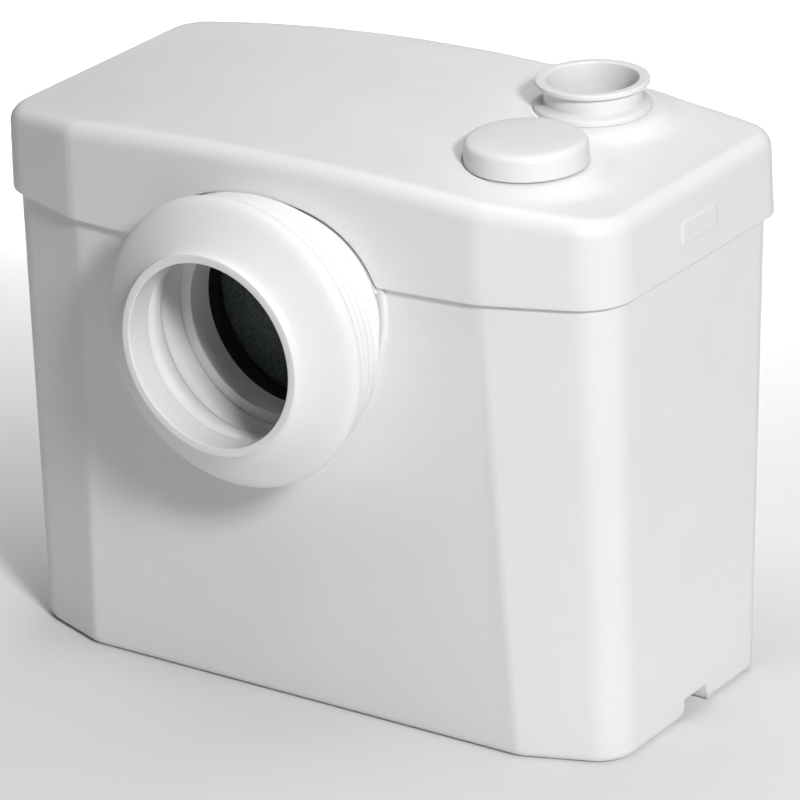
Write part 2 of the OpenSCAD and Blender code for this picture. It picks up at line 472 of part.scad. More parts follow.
// ---- pressure switch -------------------------------------------------------
module pressure_bell() color(white * 0.8) translate([bell_x, bell_y, 0]) difference() {
  union() { translate([0, 0, 12]) cylinder(h = 92, r = 25); cylinder(h = 108, r = 7.5); }
  translate([0, 0, -2]) cylinder(h = 100, r = 22);
  cylinder(h = 120, r = 3, $fn = 32);
}
SS = [for (k = [0:3]) [bell_x + 31 * cos(45 + 90 * k), bell_y + 31 * sin(45 + 90 * k)]];
module screw_holes() { for (p = SS) translate([p[0], p[1], 100]) cylinder(h = 40, r = 1.5, $fn = 32); }
module switch_base() color(black) difference() {
  translate([bell_x, bell_y, 108]) cylinder(h = 10, r = 34);
  translate([bell_x, bell_y, 112]) cylinder(h = 10, r = 27);
  translate([bell_x, bell_y, 100]) cylinder(h = 20, r = 3, $fn = 32);
  screw_holes();
}
module diaphragm() color(grey) difference() {
  translate([bell_x, bell_y, 118]) cylinder(h = 1.2, r = 34);
  screw_holes();
}
module switch_cover() color(black) difference() {
  union() {
    translate([bell_x, bell_y, 119.2]) cylinder(h = 4.8, r = 34);
    translate([bell_x, bell_y, 119.2]) cylinder(h = 20.8, r = 16);
    for (s = [-1, 1]) box([bell_x + (s > 0 ? 14 : -18), bell_y - 5, 123], [bell_x + (s > 0 ? 18 : -14), bell_y + 5, 163]);
  }
  translate([bell_x, bell_y, 118]) cylinder(h = 3.5, r = 27);
  translate([bell_x, bell_y, 118]) cylinder(h = 18, r = 12.6);
  translate([bell_x, bell_y, 118]) cylinder(h = 40, r = 4.3);
  screw_holes();
}
module switch_screws() color(steel) for (p = SS) translate([p[0], p[1], 0]) {
  translate([0, 0, 110]) cylinder(h = 15, r = 1.5, $fn = 32);
  difference() { translate([0, 0, 124]) cylinder(h = 2.2, r = 2.8, $fn = 32); box([-2, -0.4, 125.4], [2, 0.4, 127]); }
}
module switch_plunger() color(white) translate([bell_x, bell_y, 0]) {
  translate([0, 0, 119.5]) cylinder(h = 3, r = 11);
  translate([0, 0, 122]) cylinder(h = 20, r = 4);
}
module plunger_spring() color(steel) translate([bell_x, bell_y, 0])
  lead([for (k = [0:70]) let(a = 360 * 5 * k / 70) [7.4 * cos(a), 7.4 * sin(a), 123.7 + 11.3 * k / 70]], 0.75, 6);
module micro_switch() color(black) difference() {
  union() {
    box([bell_x - 14, bell_y - 5, 146], [bell_x + 14, bell_y + 5, 162]);
    for (x = [-9, 0, 9]) box([bell_x + x - 2, bell_y - 0.5, 161], [bell_x + x + 2, bell_y + 0.5, 169]);
  }
  translate([bell_x, bell_y, 140]) cylinder(h = 14, r = 2, $fn = 32);
}
module switch_button() color([0.7, 0.15, 0.1]) translate([bell_x, bell_y, 142.3]) cylinder(h = 8, r = 1.7, $fn = 32);

// ---- electrics -------------------------------------------------------------
cap_x = -80; cap_y = 41;
module capacitor() color(white * 0.9) translate([cap_x, cap_y, 0]) {
  rotate_extrude($fn = 72) polygon([[0, 108], [16.5, 108], [17.5, 109], [17.5, 168], [16, 170], [0, 170]]);
  for (s = [-1, 1]) translate([7 * s, 0, 0]) box([-0.5, -3, 169.5], [0.5, 3, 179]);
}
module capacitor_clip() color(steel) translate([cap_x, cap_y, 0]) {
  difference() {
    union() { ring_z(18.9, 17.5, 126, 136); box([-5, -25, 108], [5, -17.8, 136]); box([-5, -30, 108], [5, -24, 110.5]); }
    translate([0, 0, 100]) cylinder(h = 60, r = 17.5);
    box([-6, -23.4, 111], [6, -19.6, 134]);
    translate([0, -27.4, 100]) cylinder(h = 20, r = 1.6, $fn = 32);
  }
}
module terminal_box() color(black) difference() {
  box([-136, 30, 108], [-102, 58, 136]);
  box([-134, 32, 110], [-104, 56, 140]);
  bar_y(gland_x, 124, 2.6, 20, 31.5);
  bar_x(52, 127, 2.6, -103.5, -90);
  bar_x(52, 118, 2.6, -103.5, -90);
}
module terminal_lid() color(black) difference() {
  box([-137, 29, 136], [-101, 59, 139]);
  box([-132, 34, 138], [-106, 54, 140]);
}
module cable_gland() color(black) difference() {
  union() {
    bar_y(gland_x, gland_z, 8, 60, 80);
    translate([gland_x, 75, gland_z]) rotate([-90, 0, 0]) cylinder(h = 4, r = 12, $fn = 6);
    translate([gland_x, 79, gland_z]) rotate([-90, 0, 0]) rotate_extrude($fn = 72) polygon([[0, 0], [10, 0], [10, 1.8], [8.6, 3.4], [0, 3.4]]);
  }
  bar_y(gland_x, gland_z, 4.5, 70, 90);
  bar_y(gland_x, gland_z, 5.2, 50, 76);
}
module gland_nut() color(black) difference() {
  translate([gland_x, 61.6, gland_z]) rotate([-90, 0, 0]) cylinder(h = 4.4, r = 12, $fn = 6);
  bar_y(gland_x, gland_z, 8, 50, 90);
}
// leads between the housings, each inside the casing all the way
module motor_lead() color(grey) lead(catmull([[-103, 52, 118], [-98.6, 52, 118], [-94, 58, 114], [-84, 62.2, 112], [-70, 62.2, 111.5], [-20, 57, 111], [30, 58, 111], [66, 60.5, 112.5], [98, 58, 113], [122, 40, 118], [132, 20, 140], [132, 16, 180], [128, 11, 199], [120, 0, 206], [114, -8, 205.5], [112.4, -10.5, 201], [112.4, -10.5, 192]], 3), 1.9);
module switch_lead() color(grey) lead(catmull([[gland_x, 31, 124], [gland_x, 26, 124], [-120, 20, 130], [-124, 12, 148], [-118, -4, 172], [-112.5, -9, 175], [-112, -10, 169.4]], 4), 1.6);
module capacitor_lead() color(grey) lead(catmull([[-103, 52, 127], [-98.6, 52, 127], [-97.8, 55, 136], [-98, 58, 160], [-92, 48, 184], [-87.5, 42, 183], [-87, 41, 179.4]], 4), 1.6);

tank();
lid();
lid_seal();
inlet_sleeve();
flap_seat();
flap_pin();
inlet_flap();
discharge_stub();
discharge_seal();
vent_cap();
carbon_filter();
motor_deck();
deck_isolators();
deck_screws();
inlet_chute();
grinder_basket();
cutter_blade();
blade_nut();
motor_can();
motor_cover();
motor_screws();
stator_core();
stator_windings();
rotor_core();
motor_shaft();
upper_bearing();
lower_bearing();
shaft_seal();
pump_impeller();
pump_volute();
pump_cover();
pump_screws();
riser_pipe();
valve_body();
valve_flap();
valve_pin();
pressure_bell();
switch_base();
diaphragm();
switch_cover();
switch_screws();
switch_plunger();
plunger_spring();
micro_switch();
switch_button();
capacitor();
capacitor_clip();
terminal_box();
terminal_lid();
cable_gland();
gland_nut();
motor_lead();
switch_lead();
capacitor_lead();
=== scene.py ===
import json
import math

import bmesh
import bpy
import numpy as np
from mathutils import Matrix, Vector
from mathutils.geometry import delaunay_2d_cdt


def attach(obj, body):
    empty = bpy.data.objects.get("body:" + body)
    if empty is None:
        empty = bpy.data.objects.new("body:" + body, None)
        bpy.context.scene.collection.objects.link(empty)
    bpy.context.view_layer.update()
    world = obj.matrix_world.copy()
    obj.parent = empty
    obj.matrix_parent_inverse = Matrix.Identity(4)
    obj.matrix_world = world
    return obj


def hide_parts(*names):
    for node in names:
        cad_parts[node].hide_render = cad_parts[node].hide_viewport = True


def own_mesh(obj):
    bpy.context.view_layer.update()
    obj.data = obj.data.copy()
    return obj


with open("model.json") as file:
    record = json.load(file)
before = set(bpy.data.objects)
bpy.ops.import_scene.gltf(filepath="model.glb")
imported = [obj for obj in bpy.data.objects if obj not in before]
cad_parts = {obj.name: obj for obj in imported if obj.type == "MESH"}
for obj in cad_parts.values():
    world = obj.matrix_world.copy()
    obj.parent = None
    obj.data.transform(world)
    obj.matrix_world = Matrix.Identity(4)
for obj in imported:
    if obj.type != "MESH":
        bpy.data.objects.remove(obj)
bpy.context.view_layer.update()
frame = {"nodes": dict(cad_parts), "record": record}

NODES = frame["nodes"]
MM = 0.001
scene = bpy.context.scene

# ----------------------------------------------------------------- camera ---
AZ, EL, ROLL = math.radians(35.43), math.radians(22.7), math.radians(-2.48)
TARGET, DIST = Vector((0.00833, 0.0, 0.12151)), 2.34066
back = Vector((math.sin(AZ) * math.cos(EL), -math.cos(AZ) * math.cos(EL), math.sin(EL)))
right = (-back).cross(Vector((0, 0, 1))).normalized()
up = right.cross(-back)
r2 = right * math.cos(ROLL) + up * math.sin(ROLL)
u2 = -right * math.sin(ROLL) + up * math.cos(ROLL)
cam_data = bpy.data.cameras.new("camera")
cam_data.sensor_width = 36.0
cam_data.lens = 231.62
cam_data.clip_start, cam_data.clip_end = 0.05, 60.0
cam = bpy.data.objects.new("camera", cam_data)
scene.collection.objects.link(cam)
cam.matrix_world = Matrix.Translation(TARGET + back * DIST) @ Matrix((
    (r2.x, u2.x, back.x, 0), (r2.y, u2.y, back.y, 0), (r2.z, u2.z, back.z, 0), (0, 0, 0, 1)))
scene.camera = cam


# -------------------------------------------------------------- materials ---
def new_mat(name):
    m = bpy.data.materials.new(name)
    m.use_nodes = True
    nt = m.node_tree
    nt.nodes.clear()
    out = nt.nodes.new("ShaderNodeOutputMaterial")
    bsdf = nt.nodes.new("ShaderNodeBsdfPrincipled")
    nt.links.new(bsdf.outputs[0], out.inputs[0])
    co = nt.nodes.new("ShaderNodeTexCoord")
    return m, nt, bsdf, co.outputs["Object"]


def mapped(nt, co, scale=(1, 1, 1), rot=(0, 0, 0)):
    n = nt.nodes.new("ShaderNodeMapping")
    n.inputs["Scale"].default_value = scale
    n.inputs["Rotation"].default_value = rot
    nt.links.new(co, n.inputs["Vector"])
    return n.outputs[0]


def noise(nt, co, scale, detail=3.0, rough=0.5, dist=0.0):
    n = nt.nodes.new("ShaderNodeTexNoise")
    n.inputs["Scale"].default_value = scale
    n.inputs["Detail"].default_value = detail
    n.inputs["Roughness"].default_value = rough
    n.inputs["Distortion"].default_value = dist
    nt.links.new(co, n.inputs["Vector"])
    return n.outputs["Fac"]


def ramp(nt, fac, stops):
    n = nt.nodes.new("ShaderNodeValToRGB")
    e = n.color_ramp.elements
    e[0].position, e[0].color = stops[0][0], (*stops[0][1], 1)
    e[1].position, e[1].color = stops[-1][0], (*stops[-1][1], 1)
    for p, c in stops[1:-1]:
        k = e.new(p)
        k.color = (*c, 1)
    nt.links.new(fac, n.inputs["Fac"])
    return n.outputs["Color"]


def span(nt, fac, lo, hi, a=0.3, b=0.7):
    n = nt.nodes.new("ShaderNodeMapRange")
    for k, v in zip((1, 2, 3, 4), (a, b, lo, hi)):
        n.inputs[k].default_value = v
    nt.links.new(fac, n.inputs[0])
    return n.outputs[0]


def bump(nt, bsdf, height, strength, distance, below=None):
    n = nt.nodes.new("ShaderNodeBump")
    n.inputs["Strength"].default_value = strength
    n.inputs["Distance"].default_value = distance
    nt.links.new(height, n.inputs["Height"])
    if below is not None:
        nt.links.new(below, n.inputs["Normal"])
    nt.links.new(n.outputs[0], bsdf.inputs["Normal"])
    return n.outputs[0]


def plastic(name, dark, light, rough=(0.36, 0.46), cloud=9.0, grain=1400.0, depth=0.00002, strength=0.25, spec=0.5):
    """Moulded plastic: faint clouding, uneven gloss and a fine mould grain."""
    m, nt, b, co = new_mat(name)
    c = noise(nt, co, cloud, 4, 0.55)
    nt.links.new(ramp(nt, c, [(0.3, dark), (0.7, light)]), b.inputs["Base Color"])
    nt.links.new(span(nt, noise(nt, co, cloud * 5, 3), *rough), b.inputs["Roughness"])
    wave = bump(nt, b, noise(nt, co, 38, 2), 0.05, 0.0004)
    bump(nt, b, noise(nt, co, grain, 2), strength, depth, wave)
    b.inputs["Specular IOR Level"].default_value = spec
    return m


def rubber(name, dark, light, rough=(0.5, 0.66), grain=1100.0, depth=0.00004, strength=0.35):
    m, nt, b, co = new_mat(name)
    nt.links.new(ramp(nt, noise(nt, co, 22, 5, 0.6), [(0.28, dark), (0.72, light)]), b.inputs["Base Color"])
    nt.links.new(span(nt, noise(nt, co, 70, 3), *rough), b.inputs["Roughness"])
    bump(nt, b, noise(nt, co, grain, 3, 0.6), strength, depth)
    b.inputs["Specular IOR Level"].default_value = 0.35
    return m


def speckled(name):
    """Black flap with the fine light specks of moulded rubber."""
    m, nt, b, co = new_mat(name)
    v = nt.nodes.new("ShaderNodeTexVoronoi")
    v.inputs["Scale"].default_value = 620
    nt.links.new(co, v.inputs["Vector"])
    nt.links.new(ramp(nt, v.outputs["Distance"], [(0.0, (0.165, 0.190, 0.200)), (0.22, (0.100, 0.117, 0.124)), (0.6, (0.056, 0.068, 0.074))]), b.inputs["Base Color"])
    nt.links.new(span(nt, noise(nt, co, 160, 3), 0.42, 0.62), b.inputs["Roughness"])
    bump(nt, b, noise(nt, co, 700, 3, 0.7), 0.5, 0.0001)
    return m


def metal(name, dark, light, rough=(0.24, 0.4), stretch=(60, 60, 900), strength=0.18, depth=0.00002):
    m, nt, b, co = new_mat(name)
    s = mapped(nt, co, stretch)
    g = noise(nt, s, 1.0, 4, 0.6)
    nt.links.new(ramp(nt, g, [(0.25, dark), (0.75, light)]), b.inputs["Base Color"])
    nt.links.new(span(nt, noise(nt, s, 2.2, 3), *rough), b.inputs["Roughness"])
    bump(nt, b, g, strength, depth)
    b.inputs["Metallic"].default_value = 1.0
    return m


def banded(name, dark, light, pitch, axis="Z", rough=(0.4, 0.55), metallic=1.0, twist=0.0):
    """Thin sheets or wires laid side by side."""
    m, nt, b, co = new_mat(name)
    w = nt.nodes.new("ShaderNodeTexWave")
    w.wave_type = "BANDS"
    w.bands_direction = axis
    w.inputs["Scale"].default_value = 1.0 / pitch / 3.1831
    w.inputs["Distortion"].default_value = twist
    w.inputs["Detail"].default_value = 1.0
    nt.links.new(co, w.inputs["Vector"])
    nt.links.new(ramp(nt, w.outputs["Fac"], [(0.1, dark), (0.8, light)]), b.inputs["Base Color"])
    nt.links.new(span(nt, noise(nt, co, 300, 3), *rough), b.inputs["Roughness"])
    bump(nt, b, w.outputs["Fac"], 0.6, pitch * 0.2)
    b.inputs["Metallic"].default_value = metallic
    return m


M = {
    "white_shell": plastic("white_shell", (0.80, 0.795, 0.785), (0.835, 0.832, 0.825)),
    "white_rubber": rubber("white_rubber", (0.80, 0.795, 0.785), (0.84, 0.836, 0.828), (0.46, 0.58), 1300, 0.00002, 0.25),
    "black_rubber": rubber("black_rubber", (0.010, 0.011, 0.012), (0.022, 0.023, 0.025)),
    "black_flap": speckled("black_flap"),
    "grey_rubber": rubber("grey_rubber", (0.10, 0.105, 0.11), (0.15, 0.155, 0.16)),
    "black_plastic": plastic("black_plastic", (0.010, 0.011, 0.012), (0.020, 0.021, 0.022), (0.38, 0.52), 14, 900, 0.00004, 0.4),
    "grey_plastic": plastic("grey_plastic", (0.17, 0.175, 0.18), (0.21, 0.215, 0.22), (0.42, 0.56), 12, 800, 0.00005, 0.4),
    "natural_plastic": plastic("natural_plastic", (0.52, 0.515, 0.49), (0.60, 0.595, 0.57), (0.34, 0.48), 12, 900, 0.00003, 0.3),
    "stainless": metal("stainless", (0.50, 0.505, 0.51), (0.64, 0.645, 0.65)),
    "turned_steel": metal("turned_steel", (0.44, 0.445, 0.45), (0.60, 0.605, 0.61), (0.18, 0.32), (20, 20, 2600)),
    "motor_metal": metal("motor_metal", (0.42, 0.425, 0.43), (0.52, 0.525, 0.53), (0.38, 0.52), (420, 420, 420), 0.35, 0.00006),
    "laminations": banded("laminations", (0.09, 0.09, 0.095), (0.26, 0.26, 0.265), 0.0009),
    "copper_wire": banded("copper_wire", (0.25, 0.09, 0.035), (0.62, 0.27, 0.12), 0.0011, "DIAGONAL", (0.28, 0.42), 1.0, 0.6),
    "carbon_pad": rubber("carbon_pad", (0.008, 0.008, 0.008), (0.03, 0.03, 0.03), (0.8, 0.95), 520, 0.0006, 0.9),
    "capacitor_case": plastic("capacitor_case", (0.56, 0.57, 0.58), (0.62, 0.63, 0.64), (0.22, 0.3), 10, 1200, 0.00002, 0.2),
    "red_plastic": plastic("red_plastic", (0.36, 0.02, 0.015), (0.44, 0.03, 0.02), (0.26, 0.36), 60, 1500, 0.00002, 0.2),
    "lead_sheath": plastic("lead_sheath", (0.11, 0.115, 0.12), (0.15, 0.155, 0.16), (0.36, 0.48), 40, 900, 0.00004, 0.35),
}


# ------------------------------------------------------------ mesh helpers ---
def smoothstep(a, b, x):
    t = np.clip((np.asarray(x, float) - a) / (b - a), 0, 1)
    return t * t * (3 - 2 * t)


def make(name, verts_mm, faces, mat, angle=32, weld=0.004):
    """Closed mesh object from points in millimetres."""
    me = bpy.data.meshes.new(name)
    me.from_pydata((np.asarray(verts_mm, float) * MM).tolist(), [], [tuple(int(i) for i in f) for f in faces])
    bm = bmesh.new()
    bm.from_mesh(me)
    if weld:
        bmesh.ops.remove_doubles(bm, verts=bm.verts, dist=weld * MM)
    bmesh.ops.recalc_face_normals(bm, faces=bm.faces)
    bm.to_mesh(me)
    bm.free()
    return finish_mesh(name, me, mat, angle)


def finish_mesh(name, me, mat, angle):
    me.polygons.foreach_set("use_smooth", [True] * len(me.polygons))
    me.set_sharp_from_angle(angle=math.radians(angle))
    me.materials.clear()
    if mat is not None:
        me.materials.append(M[mat])
    ob = bpy.data.objects.new(name, me)
    scene.collection.objects.link(ob)
    return ob


def place(ob, body, slot, *nodes):
    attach(ob, body)
    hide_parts(*nodes)
    return ob


def grid_faces(rows, n, off=0, wrap=True):
    out = []
    for i in range(rows - 1):
        for k in range(n if wrap else n - 1):
            a, b = off + i * n + k, off + i * n + (k + 1) % n
            out.append((a, b, b + n, a + n))
    return out


def revolve(profile, seg, axis="z", centre=(0, 0)):
    """Closed profile of (radius, height) turned round an axis: z at centre (x, y), or y at centre (x, z) with height as forward distance."""
    p = np.asarray(profile, float)
    n = len(p)
    th = np.arange(seg) * 2 * math.pi / seg
    v = []
    for t in th:
        c, s = math.cos(t), math.sin(t)
        if axis == "z":
            v.append(np.stack([centre[0] + p[:, 0] * c, centre[1] + p[:, 0] * s, p[:, 1]], 1))
        else:
            v.append(np.stack([centre[0] + p[:, 0] * c, -p[:, 1], centre[1] + p[:, 0] * s], 1))
    v = np.concatenate(v)
    f = []
    for i in range(seg):
        j = (i + 1) % seg
        for k in range(n):
            m = (k + 1) % n
            f.append((i * n + k, j * n + k, j * n + m, i * n + m))
    return v, f


def chaikin(points, rounds=3, closed=True, keep=()):
    """Rounds a control polygon by cutting its corners; points named in keep stay sharp."""
    p = [np.asarray(q, float) for q in points]
    hard = [i in keep for i in range(len(p))]
    for _ in range(rounds):
        q, h = [], []
        n = len(p)
        for i in range(n):
            if not closed and i in (0, n - 1):
                q.append(p[i]); h.append(True)
                continue
            if hard[i]:
                q.append(p[i]); h.append(True)
            else:
                a, b = p[i - 1], p[(i + 1) % n]
                q.append(p[i] * 0.75 + a * 0.25); h.append(False)
                q.append(p[i] * 0.75 + b * 0.25); h.append(False)
        p, hard = q, h
    return np.array(p)


def inside(poly, pts):
    x, y = pts[:, 0], pts[:, 1]
    r = np.zeros(len(pts), bool)
    a = poly
    b = np.roll(poly, -1, 0)
    for (x0, y0), (x1, y1) in zip(a, b):
        m = (y0 > y) != (y1 > y)
        if y1 != y0:
            r ^= m & (x < (x1 - x0) * (y - y0) / (y1 - y0) + x0)
    return r


def circle(c, r, n, phase=0.0):
    t = (np.arange(n) + phase) * 2 * math.pi / n
    return np.stack([c[0] + r * np.cos(t), c[1] + r * np.sin(t)], 1)


def sheet2d(outer, holes, extra):
    """Triangles that fill a plane outline with holes, with further points inside."""
    loops = [outer] + holes
    pts, edges, o = [], [], 0
    for L in loops:
        n = len(L)
        pts.append(L)
        edges += [(o + k, o + (k + 1) % n) for k in range(n)]
        o += n
    if len(extra):
        pts.append(extra)
    pts = np.concatenate(pts)
    v, _, f, *_ = delaunay_2d_cdt([Vector(p) for p in pts.tolist()], edges, [], 1, 1e-6)
    v = np.array([(q.x, q.y) for q in v])
    f = np.array([list(t) for t in f if len(t) == 3])
    cen = v[f].mean(1)
    ok = np.ones(len(f), bool)
    for h in holes:
        ok &= ~inside(h, cen)
    return v, f[ok]


def boolean(ob, other, op):
    m = ob.modifiers.new("b", "BOOLEAN")
    m.operation = op
    m.solver = "MANIFOLD"
    m.object = other
    dg = bpy.context.evaluated_depsgraph_get()
    me = bpy.data.meshes.new_from_object(ob.evaluated_get(dg))
    ob.modifiers.clear()
    old = ob.data
    ob.data = me
    bpy.data.meshes.remove(old)
    om = other.data
    bpy.data.objects.remove(other)
    bpy.data.meshes.remove(om)
    return ob


class Bag:
    """Collects point and face lists into one mesh."""

    def __init__(self):
        self.v, self.f, self.n = [], [], 0

    def add(self, v, f):
        v = np.asarray(v, float)
        self.v.append(v)
        self.f += [tuple(int(i) + self.n for i in t) for t in f]
        self.n += len(v)

    def wall(self, lower, upper):
        """Band between two loops of the same length."""
        n = len(lower)
        self.add(np.concatenate([lower, upper]), [(k, (k + 1) % n, n + (k + 1) % n, n + k) for k in range(n)])

    def mesh(self):
        return np.concatenate(self.v), self.f


def with_z(L, z):
    return np.column_stack([L, np.broadcast_to(z, len(L))])


# ------------------------------------------------------- outline of casing ---
HALF, YF, YB = 165.0, -83.0, 83.0
FACET_W, FACET_D, BOW = 56.0, 20.0, 5.3
SEAM, RIM, CROWN, DROP = 216.0, 221.0, 266.8, 13.7
WALL, LID_IN, LID_LIN, LID_R = 3.0, 3.8, 0.7, 8.0
INLET_Z, ARCH_A, ARCH_B = 188.0, 63.5, 59.5
STUB, VENT = (90.5, 41.2), (100.6, -28.2)
STUB_SEAT, VENT_SEAT = 263.2, 261.6
CORN = np.array([[-HALF, YB], [-HALF, YF + FACET_D], [-HALF + FACET_W, YF], [HALF - FACET_W, YF], [HALF, YF + FACET_D], [HALF, YB]])
RAD = [17, 26, 20, 20, 26, 17]


def unit(v):
    return v / np.linalg.norm(v)


def outline(f, s, b, bow, na=14, side=150, facet=14, front=220, rear=40):
    """Plan outline moved in by f at the front, s at the sides and facets and b at the back."""
    d = [s, s, f, s, s, b]
    nrm = []
    for i in range(6):
        e = unit(CORN[(i + 1) % 6] - CORN[i])
        nrm.append(np.array([-e[1], e[0]]))
    P = []
    for i in range(6):
        n0, n1 = nrm[i - 1], nrm[i]
        c0, c1 = n0 @ CORN[i] + d[i - 1], n1 @ CORN[i] + d[i]
        k = n0[0] * n1[1] - n0[1] * n1[0]
        P.append(np.array([(c0 * n1[1] - c1 * n0[1]) / k, (n0[0] * c1 - n1[0] * c0) / k]))
    arcs = []
    for i in range(6):
        p, q, w = P[i], P[i - 1], P[(i + 1) % 6]
        a, c = unit(q - p), unit(w - p)
        g = math.acos(float(np.clip(a @ c, -1, 1)))
        t = min(max(RAD[i] - f, 2) / math.tan(g / 2), 0.48 * np.linalg.norm(q - p), 0.48 * np.linalg.norm(w - p))
        r = t * math.tan(g / 2)
        o = p + unit(a + c) * r / math.sin(g / 2)
        u, v = p + a * t - o, p + c * t - o
        a0 = math.atan2(u[1], u[0])
        da = (math.atan2(v[1], v[0]) - a0 + math.pi) % (2 * math.pi) - math.pi
        ang = a0 + da * np.linspace(0, 1, na)
        arcs.append(o + r * np.stack([np.cos(ang), np.sin(ang)], 1))
    L = []
    for i, n in enumerate((side, facet, front, facet, side, rear)):
        A, B = arcs[i][-1], arcs[(i + 1) % 6][0]
        k = (np.arange(n) + 1)[:, None] / (n + 1)
        L += [arcs[i], A + (B - A) * k]
    L = np.concatenate(L)
    hx = HALF - FACET_W - 0.3 * f
    m = (np.abs(L[:, 0]) < hx) & (L[:, 1] < YF + 30)
    L[m, 1] -= bow * (1 - (L[m, 0] / hx) ** 2)
    return L


NR = len(outline(0, 0, 0, BOW))


def tank_ring(z, e):
    t = z / SEAM
    L = outline(7 + (LID_IN - 7) * t + e, 3.7 + (LID_IN - 3.7) * t + e, 24.2 + (5.1 - 24.2) * t + e, BOW * t)
    return with_z(L, z)


def lid_flat(e):
    return outline(e, e, e, BOW)


def crown(x):
    return CROWN - DROP * (x / HALF) ** 2


def lid_top(x, y):
    """Crowned top with a soft mound round the stub and the vent."""
    z = crown(x)
    for c, seat, r0, r1 in ((STUB, STUB_SEAT, 28.6, 41.0), (VENT, VENT_SEAT, 29.0, 43.0)):
        d = np.hypot(x - c[0], y - c[1])
        z = z + (1 - smoothstep(r0, r1, d)) * np.maximum(seat - z, 0)
    return z


# --------------------------------------------------------------------- lid ---
def arch_z(L):
    """Lower edge of the lid's skirt: straight, with an arch over the inlet and softened arch corners."""
    z = np.full(len(L), SEAM)
    m = (L[:, 1] < -60) & (np.abs(L[:, 0]) < ARCH_A - 0.1)
    a = INLET_Z + ARCH_B * (1 - np.abs(L[m, 0] / ARCH_A) ** 2.5) ** 0.4
    k = 1.6
    h = np.clip(0.5 + 0.5 * (a - SEAM) / k, 0, 1)
    z[m] = SEAM * (1 - h) + a * h + k * h * (1 - h)
    return z


def pad(y, z):
    """1 on the raised finger pad of a lid's side and 0 around it."""
    r = 1.8
    qx, qz = np.abs(y - 8.65) - (14.45 - r), np.abs(z - 232.6) - (5.05 - r)
    d = np.hypot(np.maximum(qx, 0), np.maximum(qz, 0)) + np.minimum(np.maximum(qx, qz), 0) - r
    return 1 - smoothstep(-0.55, 0.55, d)


